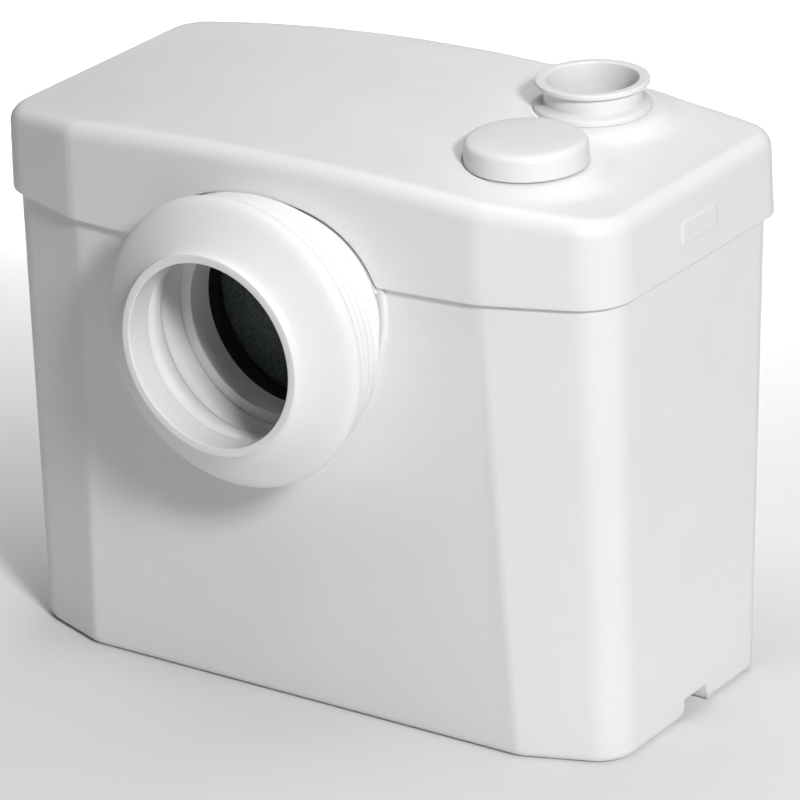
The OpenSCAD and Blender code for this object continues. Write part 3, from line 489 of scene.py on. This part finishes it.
def build_lid():
    T = lid_flat(LID_LIN + LID_R)
    zT = lid_top(T[:, 0], T[:, 1])
    zc = crown(T[:, 0])
    bag, rows = Bag(), []
    for k in range(13):                                     # rounded top edge
        a = math.radians(90 - 7.5 * k)
        L = lid_flat(LID_LIN + LID_R * (1 - math.cos(a)))
        rows.append(with_z(L, zT - LID_R + LID_R * math.sin(a)))
    top = zT - LID_R
    steps = np.concatenate([np.linspace(0.96, 0.78, 4), np.linspace(0.75, 0.24, 26), np.linspace(0.2, 0.06, 4)])
    for t in steps:                                         # side wall, a little wider at the bottom
        L = lid_flat(LID_LIN * t)
        zb = arch_z(L) + 0.6
        z = zb + (top - zb) * t
        s = np.abs(L[:, 0]) > HALF - 1.2
        L[s, 0] += np.sign(L[s, 0]) * (HALF + 0.2 - np.abs(L[s, 0])) * pad(L[s, 1], z[s])
        rows.append(with_z(L, z))
    for k in range(5):                                      # rounded lower edge
        a = math.radians(22.5 * k)
        L = lid_flat(0.6 * (1 - math.cos(a)))
        rows.append(with_z(L, arch_z(L) + 0.6 - 0.6 * math.sin(a)))
    for e, up_by in ((2.4, 0.0), (2.8, 0.15), (3.0, 0.6)):
        L = lid_flat(e)
        rows.append(with_z(L, arch_z(L) + up_by))
    def ledge(L0, z):                                       # 1 where the inner ledge runs, 0 behind the arch
        return np.where(L0[:, 1] < -60, smoothstep(52, 58, np.abs(L0[:, 0])), 1.0)
    base = lid_flat(3.0)
    w = ledge(base, 0)[:, None]
    deep = lid_flat(9.0)
    def inner(e_to, z):
        L = lid_flat(e_to)
        return with_z(L, np.maximum(z, arch_z(L) + 1.0))
    rows.append(inner(3.1, 225.0))
    L = lid_flat(3.1) * (1 - w) + deep * w
    rows.append(with_z(L, np.maximum(225.2, arch_z(L) + 1.2)))
    rows.append(with_z(L, np.maximum(228.0, arch_z(L) + 1.6)))
    L = lid_flat(3.3)
    rows.append(with_z(L, np.maximum(228.2, arch_z(L) + 1.8)))
    for k in range(7):                                      # inside of the rounded edge
        a = math.radians(15 * k)
        L = lid_flat(LID_LIN + WALL + (LID_R - WALL) * (1 - math.cos(a)))
        rows.append(with_z(L, zc - LID_R + (LID_R - WALL) * math.sin(a)))
    bag.add(np.concatenate(rows), grid_faces(len(rows), NR))

    n = 96
    pts = []
    near = lid_flat(LID_LIN + LID_R + 1.1)
    for c, other, radii in ((STUB, VENT, (25, 27.2, 27.45, 28.2, 29.4, 31, 33, 35.4, 38, 41)), (VENT, STUB, (24, 27.7, 27.95, 28.6, 29.8, 31.4, 33.4, 36, 39, 43))):
        for i, r in enumerate(radii):
            p = circle(c, r, n, 0.5 * (i % 2))
            d1, d2 = np.hypot(p[:, 0] - c[0], p[:, 1] - c[1]), np.hypot(p[:, 0] - other[0], p[:, 1] - other[1])
            pts.append(p[inside(near, p) & (d1 < d2 - 0.6)])
    gx, gy = np.meshgrid(np.arange(-155, 156, 3.1), np.arange(-88, 76, 3.1))
    g = np.stack([gx.ravel() + 1.3 * (np.round(gy.ravel() / 3.1) % 2), gy.ravel()], 1)
    far = (np.hypot(g[:, 0] - STUB[0], g[:, 1] - STUB[1]) > 42.6) & (np.hypot(g[:, 0] - VENT[0], g[:, 1] - VENT[1]) > 44.6)
    g = g[inside(lid_flat(LID_LIN + LID_R + 1.8), g) & far]
    pts.append(g)
    hole_s, hole_v = circle(STUB, 22.3, n), circle(VENT, 21.0, n)
    v, f = sheet2d(T, [hole_s, hole_v], np.concatenate(pts))
    z = lid_top(v[:, 0], v[:, 1])
    z = np.where(np.hypot(v[:, 0] - STUB[0], v[:, 1] - STUB[1]) < 27.3, STUB_SEAT, z)
    z = np.where(np.hypot(v[:, 0] - VENT[0], v[:, 1] - VENT[1]) < 27.8, VENT_SEAT, z)
    bag.add(with_z(v, z), f)

    cup = circle(VENT, 23.5, n)
    gc = g[(np.arange(len(g)) % 4) == 0]
    v, f = sheet2d(T, [hole_s, cup], gc[(np.hypot(gc[:, 0] - STUB[0], gc[:, 1] - STUB[1]) > 25) & (np.hypot(gc[:, 0] - VENT[0], gc[:, 1] - VENT[1]) > 26)])
    bag.add(with_z(v, crown(v[:, 0]) - WALL), [t[::-1] for t in f])
    bag.wall(with_z(hole_s, crown(hole_s[:, 0]) - WALL), with_z(hole_s, STUB_SEAT))
    bag.wall(with_z(hole_v, 242.0), with_z(hole_v, VENT_SEAT))
    bag.wall(with_z(cup, 240.0), with_z(cup, crown(cup[:, 0]) - WALL))
    vents = [circle(VENT, 3.0, 24)] + [circle((VENT[0] + 12 * math.cos(math.radians(60 * k)), VENT[1] + 12 * math.sin(math.radians(60 * k))), 3.0, 24) for k in range(6)]
    for loop, zz in ((hole_v, 242.0), (cup, 240.0)):
        v, f = sheet2d(loop, vents, np.zeros((0, 2)))
        bag.add(with_z(v, zz), f)
    for h in vents:
        bag.wall(with_z(h, 240.0), with_z(h, 242.0))
    return make("lid_shell", *bag.mesh(), "white_shell", 34)


# -------------------------------------------------------------------- tank ---
def cyl_y(x, z, r, y0, y1, seg=96):
    c = circle((x, z), r, seg)
    lo = np.column_stack([c[:, 0], np.full(seg, y0), c[:, 1]])
    hi = np.column_stack([c[:, 0], np.full(seg, y1), c[:, 1]])
    b = Bag()
    b.wall(lo, hi)
    b.add(lo, [tuple(range(seg))])
    b.add(hi, [tuple(range(seg))[::-1]])
    return b.mesh()


def cyl_z(x, y, r, z0, z1, seg=48):
    c = circle((x, y), r, seg)
    b = Bag()
    b.wall(with_z(c, z0), with_z(c, z1))
    b.add(with_z(c, z0), [tuple(range(seg))[::-1]])
    b.add(with_z(c, z1), [tuple(range(seg))])
    return b.mesh()


def block(a, b):
    (x0, y0, z0), (x1, y1, z1) = a, b
    v = [(x, y, z) for z in (z0, z1) for x, y in ((x0, y0), (x1, y0), (x1, y1), (x0, y1))]
    return np.array(v, float), [(3, 2, 1, 0), (4, 5, 6, 7), (0, 1, 5, 4), (1, 2, 6, 5), (2, 3, 7, 6), (3, 0, 4, 7)]


POSTS = [(-148, -53), (-144, 48), (-52, -62), (52, -62), (148, -53), (144, 48)]


def build_tank():
    rows = []
    for k in range(7):
        a = math.radians(90 - 15 * k)
        rows.append(tank_ring(4.6 - 4.6 * math.sin(a), 4.6 * (1 - math.cos(a))))
    for z in np.linspace(18, 214, 15):
        rows.append(tank_ring(z, 0))
    rows += [tank_ring(RIM - 0.6, 0), tank_ring(RIM - 0.15, 0.15), tank_ring(RIM, 0.6), tank_ring(RIM, WALL - 0.6), tank_ring(RIM - 0.15, WALL - 0.15), tank_ring(RIM - 0.6, WALL)]
    for z in np.linspace(205, 7, 9):
        rows.append(tank_ring(z, WALL))
    rows += [tank_ring(5.0, WALL + 0.7), tank_ring(4.0, WALL + 2.5)]
    b = Bag()
    b.add(np.concatenate(rows), grid_faces(len(rows), NR))
    b.add(rows[0], [tuple(range(NR))[::-1]])
    b.add(rows[-1], [tuple(range(NR))])
    shell = make("tank_shell", *b.mesh(), "white_shell", 32)

    def tool(name, *meshes):
        t = Bag()
        for v, f in meshes:
            t.add(v, f)
        return make(name, *t.mesh(), None, 32)

    # way in: hole in the wall, low pad, upright plate under the lid's arch, then collar and throat as one turned ring
    boolean(shell, tool("t", cyl_y(0, INLET_Z, 46.0, -95, -74, 128)), "DIFFERENCE")
    def bored(v, f, below, above):
        t = tool("t", (v, f))
        boolean(t, tool("t", cyl_y(0, INLET_Z, 54.0, -100, -60, 160)), "DIFFERENCE")
        boolean(t, tool("t", block((-90, -100, above), (90, -60, 400))), "DIFFERENCE")
        return boolean(t, tool("t", block((-90, -100, 0), (90, -60, below))), "DIFFERENCE")
    pad = revolve([(30, 79.2), (62.6, 79.2), (62.6, 82.6), (62.5, 84.1), (62.2, 84.6), (61.6, 84.85), (60.5, 84.9), (30, 84.9)], 224, "y", (0, 204.5))
    boolean(shell, bored(*pad, 100.0, SEAM - 0.6), "UNION")
    t = np.arange(240) * 2 * math.pi / 240
    def arch_loop(g, y):
        c, q = np.cos(t), np.sin(t)
        return np.column_stack([(ARCH_A - g) * np.sign(c) * np.abs(c) ** 0.8, np.full(240, -y), INLET_Z + (ARCH_B - g) * np.sign(q) * np.abs(q) ** 0.8])
    plate, loops = Bag(), [arch_loop(1.2, 78.5), arch_loop(1.2, 85.4), arch_loop(1.26, 85.7), arch_loop(1.45, 85.92), arch_loop(1.8, 86.0)]
    plate.add(np.concatenate(loops), grid_faces(len(loops), 240))
    plate.add(loops[0], [tuple(range(240))[::-1]])
    plate.add(loops[-1], [tuple(range(240))])
    boolean(shell, bored(*plate.mesh(), 213.0, 300.0), "UNION")
    ring = tool("t", revolve([(48, 69), (48, 78.5), (57.7, 78.5), (58, 78.9), (58, 85.6), (57.6, 86), (55.9, 86), (55.5, 86.4), (55.5, 103.4), (55.0, 104), (52.1, 104), (51.6, 103.5), (51.6, 83), (44.7, 83), (44.3, 82.6), (44.3, 69.3), (44.6, 69)], 192, "y", (0, INLET_Z)))
    boolean(shell, ring, "UNION")
    # posts, lug pockets and the seat of the gland
    boolean(shell, tool("t", *[cyl_z(x, y, 6, 3.2, 98) for x, y in POSTS]), "UNION")
    boolean(shell, tool("t", *[cyl_z(x, y, 2.02, 70, 120, 32) for x, y in POSTS]), "DIFFERENCE")
    boolean(shell, tool("t", *[block((143 if s > 0 else -160.3, -9.9, 0.4), (160.3 if s > 0 else -143, 16.1, 13.0)) for s in (-1, 1)]), "UNION")
    def notch(s):
        p = [(-10.8, -2), (-10.8, 0.2), (-9.4, 1.2), (-8.0, 2.6), (-7.0, 4.4), (-6.4, 6.4), (-6.4, 9.1), (-6.1, 9.7), (-5.5, 10.0)]
        p = p + [(6.2 - y, z) for y, z in p[::-1]]
        n = len(p)
        v = [(146 * s, y, z) for y, z in p] + [(172 * s, y, z) for y, z in p]
        return np.array(v, float), [(k, (k + 1) % n, n + (k + 1) % n, n + k) for k in range(n)] + [tuple(range(n))[::-1], tuple(range(n, 2 * n))]
    boolean(shell, tool("t", notch(-1), notch(1)), "DIFFERENCE")
    boolean(shell, tool("t", cyl_y(-119, 150, 14, 66.5, 75)), "UNION")
    boolean(shell, tool("t", cyl_y(-119, 150, 8.2, 50, 90)), "DIFFERENCE")
    me = shell.data.copy()
    bpy.data.objects.remove(shell)
    me.name = "tank_shell"
    return finish_mesh("tank_shell", me, "white_shell", 32)


# ----------------------------------------------------------- turned pieces ---
def rib(y, r):
    return [(r - 0.05, y - 1.8), (r + 0.5, y - 1.2), (r + 0.55, y + 1.1), (r + 0.35, y + 1.8)]


SLEEVE = [(55.9, 86.1), (56.8, 86.1), (57.3, 86.9), (57.8, 88.6), (59.9, 89.1), (61.0, 90.0), (61.3, 91.2)] + rib(94.4, 61.6) + rib(99.3, 62.3) + rib(104.2, 63.6) + [
    (65.3, 107.4), (66.7, 109.3), (67.25, 111.4), (66.95, 113.1), (65.7, 115.0), (63.3, 116.9), (59.2, 119.3), (54.8, 121.9), (50.6, 124.6), (48.7, 126.0), (47.4, 127.2), (46.75, 128.4), (46.5, 129.7), (46.2, 130.2),
    (42.9, 130.2), (42.5, 129.95), (42.45, 129.4), (43.0, 122.0), (43.25, 116.0), (43.3, 115.3), (43.8, 115.0), (45.6, 114.9), (48.0, 114.6), (48.6, 113.6), (47.6, 111.6), (46.0, 109.6), (45.2, 108.0), (45.2, 105.0), (45.9, 102.2), (47.3, 99.8), (48.9, 98.5), (49.2, 97.0),
    (49.2, 84.4), (49.8, 83.25), (51.3, 83.25), (51.3, 104.2), (55.9, 104.2)]


def build_sleeve():
    sharp = [0, len(SLEEVE) - 1, len(SLEEVE) - 2, len(SLEEVE) - 3]
    p = chaikin(SLEEVE, 3, True, sharp)
    v, f = revolve(p, 224, "y", (0, INLET_Z))
    # the root spreads to the lid's arch above the axis and fades into the plain neck below it
    r, y = np.hypot(v[:, 0], v[:, 2] - INLET_Z), -v[:, 1]
    c, s = v[:, 0] / r, (v[:, 2] - INLET_Z) / r
    arch = ((np.abs(c) / (ARCH_A - 1.2)) ** 2.5 + (np.abs(s) / (ARCH_B - 1.2)) ** 2.5) ** -0.4
    low = 14 * s + np.sqrt(61.2 ** 2 - (14 * c) ** 2)
    d = np.minimum(arch, low) - 57.3
    d = 0.5 * (d + np.sqrt(d * d + 0.36))
    k = 1 + np.where((r > 56.3) & (y < 103), 1 - smoothstep(87.5, 92.0, y), 0) * d / r
    v = np.column_stack([v[:, 0] * k, v[:, 1], INLET_Z + (v[:, 2] - INLET_Z) * k])
    return make("inlet_sleeve_rubber", v, f, "white_rubber", 40)


def build_stub():
    soft = [(19.4, 266.0), (19.5, 271.0), (20.1, 275.0), (20.6, 277.0), (20.9, 277.35), (21.5, 277.5), (24.6, 277.6), (25.4, 277.35), (25.6, 276.8), (25.6, 275.6), (25.4, 275.3), (22.3, 275.1), (22.0, 274.8),
            (22.0, 268.0), (22.15, 267.6), (22.6, 267.35), (25.7, 266.1), (26.1, 265.85), (26.2, 265.5), (26.2, 263.5), (26.0, 263.25)]
    sharp = [(22.0, 263.22), (22.0, 251.2), (20.75, 251.0), (20.75, 249.0), (22.0, 248.8), (22.0, 246.4), (21.6, 246), (20.0, 246), (20.0, 257.6), (19.4, 258.2)]
    p = chaikin(soft + sharp, 3, True, range(len(soft), len(soft) + len(sharp)))
    return make("discharge_stub_pipe", *revolve(p, 160, "z", STUB), "white_shell", 38)


def build_cap():
    p = [(0.0, 257.5), (19.4, 257.5), (20.2, 257.9), (20.5, 258.6), (20.5, 262.2), (26.8, 262.2), (27.25, 262.5), (27.3, 263.1), (27.3, 269.6), (27.0, 271.6), (25.9, 273.0), (23.8, 273.7), (18.0, 274.2), (9.0, 274.5), (0.0, 274.6)]
    q = chaikin(p, 3, False, (4, 5))
    seg, n = 160, len(q)
    b = Bag()
    th = np.arange(seg) * 2 * math.pi / seg
    rings = [np.column_stack([VENT[0] + r * np.cos(th), VENT[1] + r * np.sin(th), np.full(seg, z)]) for r, z in q[1:-1]]
    b.add(np.concatenate(rings), grid_faces(len(rings), seg))
    for i, ring in ((0, rings[0]), (-1, rings[-1])):
        b.add(np.concatenate([ring, [[VENT[0], VENT[1], q[i][1]]]]), [(k, (k + 1) % seg, seg) for k in range(seg)])
    return make("vent_cap_dome", *b.mesh(), "white_shell", 40)


def build_spring():
    """Coil of the plunger, with the last half turn at each end laid flat."""
    n, sides = 240, 14
    u = np.linspace(0, 1, n)
    a = u * 5.5 * 2 * math.pi
    z = 123.75 + 11.2 * np.clip((u - 0.09) / 0.82, 0, 1)
    c = np.column_stack([-112 + 7.4 * np.cos(a), -10 + 7.4 * np.sin(a), z])
    t = np.gradient(c, axis=0)
    t /= np.linalg.norm(t, axis=1)[:, None]
    e = np.column_stack([np.cos(a), np.sin(a), np.zeros(n)])
    e -= (e * t).sum(1)[:, None] * t
    e /= np.linalg.norm(e, axis=1)[:, None]
    w = np.cross(t, e)
    rings = []
    for k in range(n):
        q = np.arange(sides) * 2 * math.pi / sides
        rings.append(c[k] + 0.75 * (np.cos(q)[:, None] * e[k] + np.sin(q)[:, None] * w[k]))
    b = Bag()
    b.add(np.concatenate(rings), grid_faces(n, sides))
    b.add(rings[0], [tuple(range(sides))[::-1]])
    b.add(rings[-1], [tuple(range(sides))])
    return make("plunger_spring_coil", *b.mesh(), "stainless", 50)


place(build_tank(), "casing", "white_shell", "tank")
place(build_lid(), "lid", "white_shell", "lid")
place(build_sleeve(), "casing", "white_rubber", "inlet_sleeve")
place(build_stub(), "lid", "white_shell", "discharge_stub")
place(build_cap(), "vent_cap", "white_shell", "vent_cap")
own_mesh(place(build_spring(), "casing", "stainless", "plunger_spring"))

# -------------------------------------------- materials on the CAD's nodes ---
LOOK = {s["node"]: s["material_slot"] for s in frame["record"]["subparts"]}
LOOK.update(inlet_flap="black_flap", motor_shaft="turned_steel", upper_bearing="turned_steel", lower_bearing="turned_steel", flap_pin="turned_steel", valve_pin="turned_steel")
for n, o in NODES.items():
    o.data.materials.clear()
    o.data.materials.append(M[LOOK[n]])

# ------------------------------------------------------- floor and lights ---
fm, nt, b, co = new_mat("floor")
nt.links.new(ramp(nt, noise(nt, co, 3, 3), [(0.3, (0.78, 0.78, 0.78)), (0.7, (0.80, 0.80, 0.80))]), b.inputs["Base Color"])
nt.links.new(span(nt, noise(nt, co, 40, 3), 0.75, 0.9), b.inputs["Roughness"])
b.inputs["Specular IOR Level"].default_value = 0.1
bpy.ops.mesh.primitive_plane_add(size=8.0, location=(0, 0, -0.0002))
floor = bpy.context.object
floor.name = "floor"
floor.data.materials.append(fm)

world = bpy.data.worlds.new("world")
scene.world = world
world.use_nodes = True
wb = world.node_tree.nodes["Background"]
wb.inputs[0].default_value = (1.0, 1.0, 1.0, 1)
wb.inputs[1].default_value = 0.0


def area(name, loc, at, size, power, size_y=None, colour=(1, 1, 1)):
    d = bpy.data.lights.new(name, "AREA")
    d.energy = power
    d.color = colour
    d.size = size
    if size_y:
        d.shape = "RECTANGLE"
        d.size_y = size_y
    o = bpy.data.objects.new(name, d)
    scene.collection.objects.link(o)
    o.location = loc
    o.rotation_mode = "QUATERNION"
    o.rotation_quaternion = (Vector(at) - Vector(loc)).to_track_quat("-Z", "Y")
    return o


def studio(name, az, el, dist, size, power):
    """Soft box at a bearing from the front, a height angle and a distance, turned to the object."""
    a, e = math.radians(az), math.radians(el)
    loc = (dist * math.sin(a) * math.cos(e), -dist * math.cos(a) * math.cos(e), 0.12 + dist * math.sin(e))
    return area(name, loc, (0.0, 0.0, 0.14), size, power)


studio("key", 57, 32, 4.0, 0.6, 114)
studio("high_right", 62, 58, 4.0, 0.6, 14)
studio("front_fill", 26, 10, 3.0, 1.0, 3.0)
studio("top", 0, 88, 1.6, 0.9, 8.0)
studio("rear_top", 180, 60, 1.6, 0.9, 4.0)
studio("left_rim", -110, 40, 1.6, 0.9, 1.0)
backdrop = area("backdrop", (-0.55, 0.85, 1.1), (-0.55, 0.85, 0.0), 0.9, 6)
backdrop.data.spread = math.radians(75)

scene.view_settings.view_transform = "Standard"
